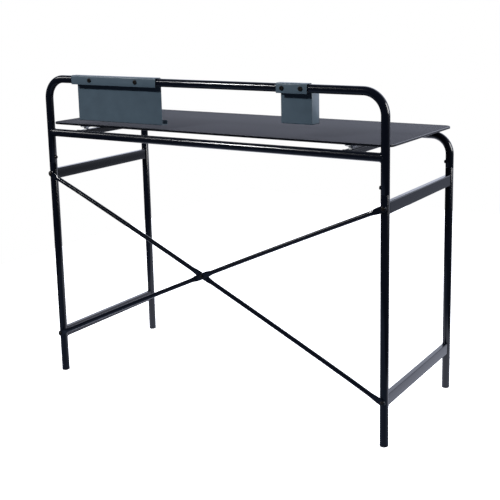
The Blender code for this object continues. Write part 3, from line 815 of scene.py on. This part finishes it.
VINYL = clear_vinyl()
NECK_SHARE = 0.41
NECK_HEIGHT_SHARE = 0.45
LIP_SECTION = ((0.80, 0.58), (0.94, 0.68), (0.985, 0.80), (1.0, 1.0))
CUP_SCREW_HEAD = 0.0026
cup_low, cup_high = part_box("suction_cup_rear_left")
cup_height = cup_high.z - cup_low.z
cup_radius = (cup_high.x - cup_low.x) / 2
neck_radius = cup_radius * NECK_SHARE
bpy.ops.object.select_all(action="DESELECT")
bpy.ops.mesh.primitive_cylinder_add(
    vertices=48, radius=neck_radius, depth=cup_height * NECK_HEIGHT_SHARE,
    location=(0, 0, cup_height * NECK_HEIGHT_SHARE / 2))
bpy.ops.object.transform_apply(location=True)
cup = bpy.context.object
edit(cup)
for radius_share, height_share in LIP_SECTION:
    radius = cup_radius * radius_share
    pick("faces", lambda face: face.normal.z > 0.95)
    bpy.ops.mesh.extrude_region_move()
    ring = max(vert.co.xy.length for vert in bmesh.from_edit_mesh(cup.data).verts if vert.select)
    top = max(vert.co.z for vert in bmesh.from_edit_mesh(cup.data).verts)
    bpy.ops.transform.resize(value=(radius / ring, radius / ring, 1), center_override=(0, 0, 0))
    bpy.ops.transform.translate(value=(0, 0, cup_height * height_share - top))
bpy.ops.mesh.inset(thickness=cup_radius * 0.10)
bpy.ops.mesh.extrude_region_move(TRANSFORM_OT_translate={"value": (0, 0, -cup_height * 0.16)})
bpy.ops.transform.resize(value=(0.5, 0.5, 1), center_override=(0, 0, 0))
bpy.ops.mesh.select_all(action="SELECT")
bpy.ops.mesh.remove_doubles(threshold=MERGE_DISTANCE)
bpy.ops.mesh.normals_make_consistent(inside=False)
object_mode()
cup_screw_low, cup_screw_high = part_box("cup_screw_rear_left")
cup_screw_length = cup_screw_high.z - cup_screw_low.z
cup_screw = pan_screw(head_radius=0.0042, head_height=CUP_SCREW_HEAD, shank_radius=0.0019,
                      shank_length=cup_screw_length - CUP_SCREW_HEAD)
for end, side in CORNERS:
    centre = axis_of(f"suction_cup_{end}_{side}")
    twin = copy_to(cup, "cup", (centre.x, centre.y, cup_low.z))
    settle(twin, f"glass_sucker_{end}_{side}", VINYL, 40)
    fit_on(twin, "frame", "clear_vinyl", f"suction_cup_{end}_{side}")
    drive_in(cup_screw, f"cup_screw_{end}_{side}", f"sucker_screw_{end}_{side}", "frame",
             (0, 0, -1))
bpy.data.objects.remove(cup)
bpy.data.objects.remove(cup_screw)


# ---------------------------------------------------------------------------
# Document holder and pen box: 1.5 mm sheet steel, folded on a press brake into
# a hook over the back rail, a hanging panel, and a ledge or a deep box. Fine
# slate-blue powder coat; two black clamp screws hold each to the rail.

def slate_powder():
    """Fine-texture powder coat: slate blue-grey, matt, with a 1 mm leathery grain."""
    powder, shader = new_material("fine_texture_slate_powder", {
        "Roughness": 0.40, "IOR": 1.5})
    place = add_node(powder, "ShaderNodeTexCoord", {})
    clouds = add_node(powder, "ShaderNodeTexNoise", {
        "Vector": place.outputs["Object"], "Scale": 30.0, "Detail": 5.0})
    tint = add_node(powder, "ShaderNodeMix", {
        "Factor": clouds.outputs["Fac"], "A": linear("#3d4a54"), "B": linear("#4a5964")},
        data_type="RGBA")
    feed(powder, tint.outputs["Result"], shader, "Base Color")
    grain = add_node(powder, "ShaderNodeTexNoise", {
        "Vector": place.outputs["Object"], "Scale": 800.0, "Detail": 2.0})
    bump = add_node(powder, "ShaderNodeBump", {
        "Height": grain.outputs["Fac"], "Strength": 0.35, "Distance": 0.0004})
    feed(powder, bump.outputs["Normal"], shader, "Normal")
    return powder


POWDER = slate_powder()
SHEET = 0.0015
FOLD_RADIUS = 0.0030
CUT_EDGE = 0.0003
CLAMP_HOLE = 0.0023
HOOK_DROP = 0.0125
DOCUMENT_LIP = 0.012
PLATE_PLAY = 0.0002


def folded_sheet(node, folds):
    """Extrude one edge through the folds and round them."""
    low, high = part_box(node)
    bpy.ops.object.select_all(action="DESELECT")
    bpy.ops.mesh.primitive_plane_add(size=1.0)
    sheet = bpy.context.object
    first = folds[0]
    for corner, (x, (y, z)) in zip(sheet.data.vertices, (
            (low.x, first), (high.x, first), (low.x, folds[1]), (high.x, folds[1]))):
        corner.co = (x, y, z)
    edit(sheet)
    for before, after in zip(folds[1:], folds[2:]):
        pick("edges", lambda edge: all(
            abs(corner.co.y - before[0]) < 1e-6 and abs(corner.co.z - before[1]) < 1e-6
            for corner in edge.verts))
        bpy.ops.mesh.extrude_edges_move(TRANSFORM_OT_translate={
            "value": (0, after[0] - before[0], after[1] - before[1])})
    pick("edges", lambda edge: not edge.is_boundary)
    bpy.ops.mesh.bevel(offset=FOLD_RADIUS, segments=6, affect="EDGES")
    bpy.ops.mesh.select_all(action="SELECT")
    bpy.ops.mesh.normals_make_consistent(inside=False)
    return object_mode()


def press_out(sheet, outward_up):
    """Give the sheet its thickness, away from the rail, and break its cut edges."""
    top = max(sheet.data.polygons, key=lambda face: face.center.z)
    if (top.normal.z > 0) != outward_up:
        edit(sheet)
        bpy.ops.mesh.select_all(action="SELECT")
        bpy.ops.mesh.flip_normals()
        object_mode()
    modify(sheet, "SOLIDIFY", thickness=SHEET, offset=1.0, use_even_offset=True)
    edit(sheet)
    pick("edges", lambda edge: edge.calc_face_angle(0) > 1.2)
    bpy.ops.mesh.bevel(offset=CUT_EDGE, segments=2, affect="EDGES")
    return object_mode()


def drill(sheet, node):
    """A clearance hole behind each clamp screw's head."""
    centre = axis_of(node)
    bpy.ops.object.select_all(action="DESELECT")
    bpy.ops.mesh.primitive_cylinder_add(vertices=32, radius=CLAMP_HOLE, depth=0.008,
                                        location=(centre.x, rail_y + tube_radius, centre.z),
                                        rotation=(math.pi / 2, 0, 0))
    bit = bpy.context.object
    modify(sheet, "BOOLEAN", operation="DIFFERENCE", object=bit, solver="EXACT")
    bpy.data.objects.remove(bit)


HOOK_CLEARANCE = 0.0003
back_rail_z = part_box("rear_hoop")[1].z - tube_radius
flange_y = rail_y + tube_radius + HOOK_CLEARANCE
panel_y = rail_y - tube_radius - HOOK_CLEARANCE
hook_z = back_rail_z + tube_radius + HOOK_CLEARANCE


def holder_folds(node, lip_z):
    low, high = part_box(node)
    return [(flange_y, back_rail_z - HOOK_DROP), (flange_y, hook_z), (panel_y, hook_z),
            (panel_y, low.z), (low.y, low.z), (low.y, lip_z)]


document_low, document_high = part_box("document_holder")
document_lip_z = document_low.z + DOCUMENT_LIP
holder = folded_sheet("document_holder", holder_folds("document_holder", document_lip_z))
press_out(holder, True)
for label in "ab":
    drill(holder, "document_holder_screw_" + label)
settle(holder, "document_rest", POWDER, 30)
fit_on(holder, "document_holder_body", "slate_paint", "document_holder")

pen_low, pen_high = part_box("pen_box")
pen_lip_z = back_rail_z - HOOK_DROP
pen_box = folded_sheet("pen_box", holder_folds("pen_box", pen_lip_z))
press_out(pen_box, True)
for label in "ab":
    drill(pen_box, "pen_box_screw_" + label)
side_plates = []
for sign, x in ((1, pen_low.x), (-1, pen_high.x)):
    bpy.ops.object.select_all(action="DESELECT")
    bpy.ops.mesh.primitive_cube_add(
        size=1.0,
        location=(x + sign * SHEET / 2, (pen_low.y + panel_y) / 2,
                  (pen_low.z + pen_lip_z) / 2),
        scale=(SHEET, panel_y - pen_low.y - PLATE_PLAY, pen_lip_z - pen_low.z - PLATE_PLAY))
    bpy.ops.object.transform_apply(location=True, scale=True)
    plate = bpy.context.object
    edit(plate)
    pick("edges", lambda edge: abs(edge.verts[0].co.x - edge.verts[1].co.x) > 0.001
         and middle(edge).z < pen_low.z + 0.01)
    bpy.ops.mesh.bevel(offset=FOLD_RADIUS, segments=5, affect="EDGES")
    pick("edges", lambda edge: edge.calc_face_angle(0) > 1.2)
    bpy.ops.mesh.bevel(offset=0.0002, segments=2, affect="EDGES")
    object_mode()
    side_plates.append(plate)
weld_on(pen_box, *side_plates)
settle(pen_box, "pen_tray_box", POWDER, 30)
fit_on(pen_box, "pen_box_body", "slate_paint", "pen_box")

clamp_screw = pan_screw(head_radius=0.0060, head_height=0.0030, shank_radius=0.0019,
                        shank_length=SHEET + HOOK_CLEARANCE)
for holder_name in ("document_holder", "pen_box"):
    for label in "ab":
        drive_in(clamp_screw, f"{holder_name}_screw_{label}", f"{holder_name}_clamp_{label}",
                 holder_name + "_body", (0, 1, 0))
bpy.data.objects.remove(clamp_screw)


# ---------------------------------------------------------------------------
# The studio: a pale floor, a card that glows with painted light and only lights
# and reflects, soft boxes and a camera. None of it is the object.

def studio_paper():
    """White background paper, lit so that it comes out pure white with a trace of cloud."""
    paper, shader = new_material("white_background_paper", {
        "Roughness": 0.9, "Specular IOR Level": 0.1,
        "Emission Color": linear("#fbfcff"), "Emission Strength": 1.0})
    place = add_node(paper, "ShaderNodeTexCoord", {})
    cloud = add_node(paper, "ShaderNodeTexNoise", {
        "Vector": place.outputs["Object"], "Scale": 2.0})
    tint = add_node(paper, "ShaderNodeMix", {
        "Factor": cloud.outputs["Fac"], "A": linear("#f4f4f5"), "B": linear("#f8f8f8")},
        data_type="RGBA")
    feed(paper, tint.outputs["Result"], shader, "Base Color")
    return paper


def glowing_floor_card():
    """A glowing card with painted light, not lit: bright under the table, fading to grey towards
    the camera.
    """
    card, shader = new_material("painted_floor_glow", {
        "Base Color": linear("#000000"), "Roughness": 1.0, "Emission Strength": 1.0})
    place = add_node(card, "ShaderNodeTexCoord", {})
    parts = add_node(card, "ShaderNodeSeparateXYZ", {"Vector": place.outputs["Object"]})
    # painted falloff: the card's glow is bright under the table and dims to grey towards the
    # camera
    painted_falloff = add_node(card, "ShaderNodeMapRange", {
        "Value": parts.outputs["Y"], "From Min": 0.0, "From Max": 0.26},
        interpolation_type="SMOOTHSTEP")
    tint = add_node(card, "ShaderNodeMix", {
        "Factor": painted_falloff.outputs["Result"], "A": (0.95, 1.0, 1.2, 1), "B": (0.14, 0.18, 0.28, 1)},
        data_type="RGBA")
    feed(card, tint.outputs["Result"], shader, "Emission Color")
    return card


def flat_stage(name, x_reach, y_low, y_high, height, material):
    bpy.ops.object.select_all(action="DESELECT")
    bpy.ops.mesh.primitive_plane_add(size=1.0, location=(0, (y_low + y_high) / 2, height))
    sheet = bpy.context.object
    sheet.scale = (2 * x_reach, y_high - y_low, 1)
    bpy.ops.object.transform_apply(location=True, scale=True)
    sheet.name = name
    sheet.data.materials.append(material)
    return sheet


floor = flat_stage("studio_floor", 1.6, -2.4, 0.9, 0.0, studio_paper())
floor.visible_glossy = floor.visible_diffuse = False
# a glowing card with painted light, seen only in lighting and reflections
card = flat_stage("glowing_floor_card", 0.84, -2.4, 1.3, -0.002, glowing_floor_card())
card.visible_camera = False

world = bpy.data.worlds.new("studio")
bpy.context.scene.world = world
world.use_nodes = True
heading_of = add_node(world, "ShaderNodeTexCoord", {})
parts = add_node(world, "ShaderNodeSeparateXYZ", {"Vector": heading_of.outputs["Generated"]})
backdrop = add_node(world, "ShaderNodeMapRange", {
    "Value": parts.outputs["Y"], "From Min": -0.35, "From Max": -0.8},
    interpolation_type="SMOOTHSTEP")
above = add_node(world, "ShaderNodeMapRange", {
    "Value": parts.outputs["Z"], "From Min": -0.10, "From Max": -0.01, "To Min": 0.22},
    interpolation_type="SMOOTHSTEP")
behind = add_node(world, "ShaderNodeMath", {
    0: backdrop.outputs["Result"], 1: above.outputs["Result"]}, operation="MULTIPLY")
room = add_node(world, "ShaderNodeMix", {
    "Factor": behind.outputs["Value"], "A": (0.035, 0.04, 0.055, 1), "B": (1.3, 1.38, 1.65, 1)},
    data_type="RGBA")
seen = add_node(world, "ShaderNodeLightPath", {})
direct = add_node(world, "ShaderNodeMath", {
    0: seen.outputs["Is Camera Ray"], 1: seen.outputs["Is Transmission Ray"]},
    operation="MAXIMUM")
shown = add_node(world, "ShaderNodeMix", {
    "Factor": direct.outputs["Value"], "A": room.outputs["Result"], "B": (1, 1, 1, 1)},
    data_type="RGBA")
world.node_tree.links.new(shown.outputs["Result"],
                          world.node_tree.nodes["Background"].inputs["Color"])
bpy.context.scene.view_settings.view_transform = "Standard"


def soft_box(name, place, target, size, power, glossy=True, diffuse=True):
    bpy.ops.object.light_add(type="AREA", location=place)
    lamp = bpy.context.object
    lamp.name = name
    lamp.data.shape = "RECTANGLE"
    lamp.data.size, lamp.data.size_y = size
    lamp.data.energy = power
    lamp.visible_camera = False
    lamp.visible_glossy = glossy
    lamp.visible_diffuse = diffuse
    lamp.rotation_euler = (Vector(target) - Vector(place)).to_track_quat("-Z", "Y").to_euler()


soft_box("overhead_box", (0, 0, 3.4), (0, 0, 0), (3.6, 3.0), 40, glossy=False)
soft_box("key_box", (1.65, 4.71, 3.50), (0, 0.2, 0.8), (0.45, 0.45), 300, glossy=False)
soft_box("sheen_box", (1.88, 2.49, 2.72), (-0.12, 0.2, 0.8), (0.32, 0.32), 60, diffuse=False)
soft_box("left_box", (2.7, 1.3, 2.4), (0.5, 0.2, 0.72), (0.8, 0.8), 16, diffuse=False)
soft_box("side_box", (-3.2, -0.6, 1.7), (0, 0, 0.6), (1.5, 1.5), 95)

bpy.ops.object.camera_add()
camera = bpy.context.object
bpy.context.scene.camera = camera
camera.data.sensor_width = 36.0
camera.data.lens = 67.724
camera.data.shift_x = -0.10
camera.data.shift_y = -0.136
camera.location = (-1.4383, 2.1815, 1.0769)
heading, pitch, roll = 0.52416, -0.1871, -0.01191
forward = Vector((math.cos(pitch) * math.sin(heading), -math.cos(pitch) * math.cos(heading),
                  math.sin(pitch)))
level = forward.cross(Vector((0, 0, 1))).normalized()
upright = level.cross(forward)
across = level * math.cos(roll) + upright * math.sin(roll)
lift = upright * math.cos(roll) - level * math.sin(roll)
camera.rotation_euler = Matrix((across, lift, -forward)).transposed().to_euler()
